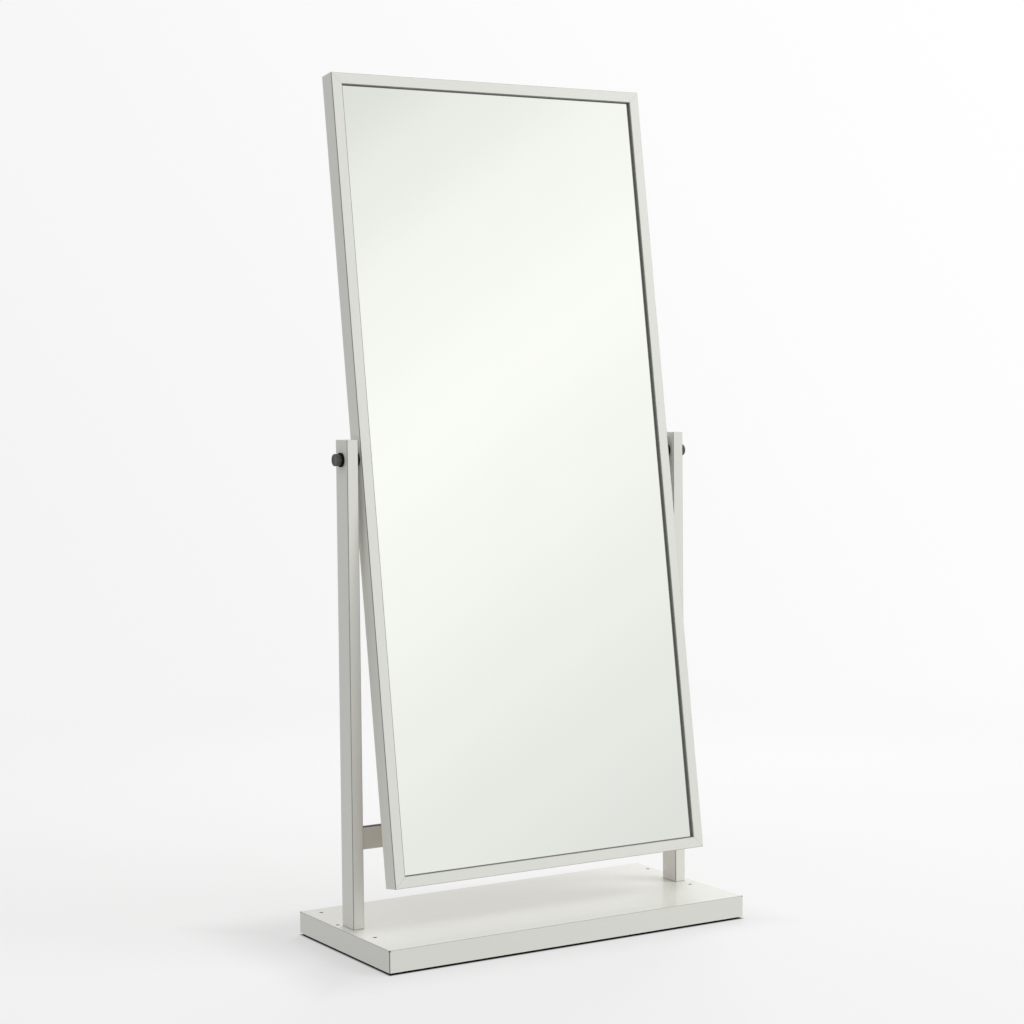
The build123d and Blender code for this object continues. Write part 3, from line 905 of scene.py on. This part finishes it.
def knob_outline(length, radius):
    """The knob from its seat to the middle of its dish."""
    waist = 0.77 * radius
    head = 0.493 * length
    rim = 0.825 * radius
    dish = 0.12 * length
    outline = [
        (0, 0.37 * radius), (0, 0.87 * radius), (0.09 * length, 0.87 * radius),
        (0.16 * length, waist), (head - 0.1 * length, waist),
        (head, radius), (length, radius), (length, rim),
        (length - dish, rim - 1.6 * dish), (length - 1.25 * dish, 0.22 * radius),
        (length - 1.25 * dish, 0),
    ]
    soft = 0.06 * radius
    return rounded(outline, [0, soft, soft, soft, 2 * soft, soft, 1.7 * soft, soft, 3 * soft, soft, 0])


for side, direction in both_sides:
    (base, tip), = stations(f"{side}_knob", direction)
    length = (tip - base).length
    radius = np.ptp(islands(f"{side}_knob")[0][:, 2]) / 2
    knob = bmesh.new()
    spin(knob, knob_outline(length, radius), base, direction, knob_sides)
    piece_from(knob, f"{side}_clamp_knob", f"{side}_knob", "knob_plastic", f"{side}_knob", 40)

# %% [markdown]
# ## Rubber washers and spacers
#
# A washer lies between each knob and its post, and a thicker spacer between the post and the
# frame. They are moulded discs with soft rims and a shallow groove round each face, where the
# mould's insert sat.

# %% Turn the washers and the spacers
def disc_outline(thickness, radius, bore):
    """A grooved disc with a hole, as a closed outline."""
    groove = 0.35 * mm
    wall = (radius - bore) / 5
    return rounded([
        (thickness, bore), (0, bore), (0, bore + wall * 2), (groove, bore + wall * 2.4),
        (groove, bore + wall * 3), (0, bore + wall * 3.4), (0, radius), (thickness, radius),
        (thickness, bore + wall * 3.4), (thickness - groove, bore + wall * 3),
        (thickness - groove, bore + wall * 2.4), (thickness, bore + wall * 2), (thickness, bore),
    ], 0.6 * mm)[:-1]


for side, direction in both_sides:
    for kind, body in (("washer", f"{side}_washer"), ("spacer", "mirror_panel")):
        (base, tip), = stations(f"{side}_{kind}", direction)
        points = islands(f"{side}_{kind}")[0]
        radius = np.ptp(points[:, 2]) / 2
        distances = np.hypot(points[:, 1] - base.y, points[:, 2] - base.z)
        disc = bmesh.new()
        outline = disc_outline((tip - base).length, radius, distances.min())
        spin(disc, outline, base, direction, 96, closed=True)
        piece_from(disc, f"{side}_pivot_{kind}", body, "black_washer", f"{side}_{kind}")

# %% [markdown]
# ## Threads
#
# A screw thread could be cut with a boolean, which is slow and fragile. On a grid of points it
# is only a ripple: the radius rises and falls as the point moves along the axis, and the wave
# is shifted by the angle, so it winds round once for each pitch.

# %% Threaded studs
def winding(core, crest, pitch, start, stop):
    """A ripple that is a thread between two stations and leaves the rest alone."""
    def ripple(along, radius, angle):
        if not start < along < stop:
            return radius
        phase = (along / pitch - angle / math.tau) % 1.0
        return core + (crest - core) * (1 - abs(2 * phase - 1))
    return ripple


def thread_stations(start, stop, pitch, radius, rows=5):
    """Stations close enough together to show the thread."""
    count = max(2, round((stop - start) / pitch * rows))
    return [(start + (stop - start) * step / count, radius) for step in range(count + 1)]


for side, direction in both_sides:
    (base, tip), = stations(f"{side}_stud", direction)
    length = (tip - base).length
    radius = np.ptp(islands(f"{side}_stud")[0][:, 2]) / 2
    bevel = 0.8 * mm
    pitch = 1.25 * mm
    outline = [(0, 0), (0, radius - bevel)]
    outline += thread_stations(bevel, length - bevel, pitch, radius)
    outline += [(length, radius - bevel), (length, 0)]
    stud = bmesh.new()
    ripple = winding(radius - 0.6 * pitch, radius, pitch, bevel * 1.05, length - bevel * 1.05)
    spin(stud, outline, base, direction, 32, ripple=ripple)
    piece_from(stud, f"{side}_threaded_stud", f"{side}_knob", "zinc_steel", f"{side}_stud", 60)

# %% [markdown]
# ## Screws
#
# There are five kinds of screw, from cover screws sunk flush in the paint to the small pan
# heads along the backboard. All have a head, a threaded shank and a cross recess. The outline
# makes the first two, and a boolean with a tapered cross cuts the last, which is how the
# punch makes it. One screw of each kind is made, and copies stand at every place that was found.

# %% Screw maker
screw_pitch = 1.3 * mm


def cross_punch(span, arm_width, depth):
    """Two crossed wedges, wider at the top."""
    taper = 0.55
    punch = bmesh.new()
    for lies_along_x in (True, False):
        ring = []
        for level, share in ((-depth, taper), (depth, 2 - taper)):
            arm = (span * share, arm_width) if lies_along_x else (arm_width, span * share)
            for side_x, side_y in ((-1, -1), (1, -1), (1, 1), (-1, 1)):
                corner = (side_x * arm[0] / 2, side_y * arm[1] / 2, level)
                ring.append(punch.verts.new(corner))
        for step in range(4):
            after = (step + 1) % 4
            punch.faces.new((ring[step], ring[after], ring[after + 4], ring[step + 4]))
        punch.faces.new(ring[3::-1])
        punch.faces.new(ring[4:])
    bmesh.ops.recalc_face_normals(punch, faces=punch.faces)
    return punch


def loose_object(made, name):
    """Turn a mesh under construction into an object of its own."""
    mesh = bpy.data.meshes.new(name)
    made.to_mesh(mesh)
    made.free()
    item = bpy.data.objects.new(name, mesh)
    bpy.context.scene.collection.objects.link(item)
    return item


def punched(body, punch_mesh):
    """The mesh of a screw after its recess is cut; its axis is Z and its head's top is at 0."""
    blank = loose_object(body, "screw_blank")
    punch = loose_object(punch_mesh, "punch")
    cut = blank.modifiers.new("recess", "BOOLEAN")
    cut.operation = "DIFFERENCE"
    cut.solver = "EXACT"
    cut.use_self = True
    cut.object = punch
    bpy.context.view_layer.update()
    graph = bpy.context.evaluated_depsgraph_get()
    mesh = bpy.data.meshes.new_from_object(blank.evaluated_get(graph))
    for item in (blank, punch):
        bpy.data.objects.remove(item)
    return mesh


def screw_mesh(head, head_height, shank, length, countersunk):
    """One screw that points down, with the top of its head at 0."""
    if countersunk:
        crown = [(-head_height, shank), (-0.12 * head_height, head), (0, head * 0.97), (0, 0)]
        crown = rounded(crown, 0.12 * mm)
    else:
        crown = [(-head_height, shank), (-head_height, head), (-0.45 * head_height, head),
                 (0, head * 0.55), (0, 0)]
        crown = rounded(crown, [0, 0.1 * mm, 0.5 * head_height, 0.6 * head, 0])
    neck = -head_height - 0.4 * mm
    point = -length + 1.6 * shank
    outline = [(-length, 0)]
    outline += thread_stations(point, neck, screw_pitch, shank, 4)
    outline += [tuple(spot) for spot in crown]
    screw = bmesh.new()
    ripple = winding(shank * 0.74, shank, screw_pitch, point, neck)
    spin(screw, outline, Vector(), upward, 24, ripple=ripple)
    bmesh.ops.recalc_face_normals(screw, faces=screw.faces)
    return punched(screw, cross_punch(1.25 * head, 0.208 * head, 0.55 * head_height))


def set_screws(name, node, body, slot, facing, head, head_height, shank, countersunk, turn_seed):
    """Copies of one screw wherever the part has one, each turned to its own angle."""
    places = stations(node, facing)
    length = (places[0][1] - places[0][0]).length
    pattern = screw_mesh(head, head_height, shank, length, countersunk)
    chance = np.random.default_rng(turn_seed)
    made = bmesh.new()
    for base, tip in places:
        turn = Matrix.Rotation(chance.uniform(0, math.tau), 3, "Z")
        placing = (axes_along(facing) @ turn).to_4x4()
        placing.translation = tip
        copy = pattern.copy()
        copy.transform(placing)
        made.from_mesh(copy)
        bpy.data.meshes.remove(copy)
    piece_from(made, name, body, slot, node, 35)


print("screw maker ready")

# %% [markdown]
# ## Drive the screws
#
# Every kind only differs in its size, its head and the way that it faces. The cover's screws
# face up, the ballast's and the feet's face down, and the frame's face out of the back.

# %% All the screws
set_screws("sunk_cover_screws", "cover_screws", "stand", "dark_screw", upward,
           3.5 * mm, 1.3 * mm, 2.0 * mm, True, 1)
set_screws("sunk_ballast_screws", "ballast_screws", "stand", "zinc_steel", -upward,
           3.5 * mm, 1.3 * mm, 1.9 * mm, True, 2)
set_screws("foot_pan_screws", "foot_screws", "stand", "zinc_steel", -upward,
           4.2 * mm, 1.6 * mm, 1.9 * mm, False, 3)
set_screws("sunk_key_screws", "corner_key_screws", "mirror_panel", "zinc_steel", -outward,
           3.3 * mm, 1.3 * mm, 1.7 * mm, True, 4)
set_screws("ledge_pan_screws", "backboard_screws", "mirror_panel", "zinc_steel", -outward,
           3.3 * mm, 1.9 * mm, 1.6 * mm, False, 5)

# %% [markdown]
# ## Feet
#
# Four turned rubber feet lift the cover off the floor. Each has a rounded sole, a recess for
# its screw, and two fine moulded rings that grip the floor.

# %% Turn the feet
def foot_outline(height, radius, recess_radius, recess, bore):
    """The foot from its bore, over the top, down the side and along the sole."""
    ring = 0.25 * mm
    outline = [
        (recess, bore), (height, bore), (height, radius), (0.42 * height, radius),
        (0.1 * height, radius * 0.93), (0, radius * 0.82), (0, radius * 0.74),
        (ring, radius * 0.72), (ring, radius * 0.68), (0, radius * 0.66), (0, radius * 0.60),
        (ring, radius * 0.58), (ring, radius * 0.55), (0, radius * 0.53), (0, recess_radius),
        (recess, recess_radius), (recess, bore),
    ]
    return rounded(outline, 0.5 * mm, steps=3)[:-1]


feet = bmesh.new()
for base, tip in stations("feet", upward):
    foot_height = (tip - base).length
    foot_radius = np.ptp(islands("feet")[0][:, 0]) / 2
    outline = foot_outline(foot_height, foot_radius, 0.48 * foot_radius, 0.47 * foot_height, 2.0 * mm)
    spin(feet, outline, base, upward, 72, closed=True)
piece_from(feet, "turned_feet", "stand", "foot_rubber", "feet")
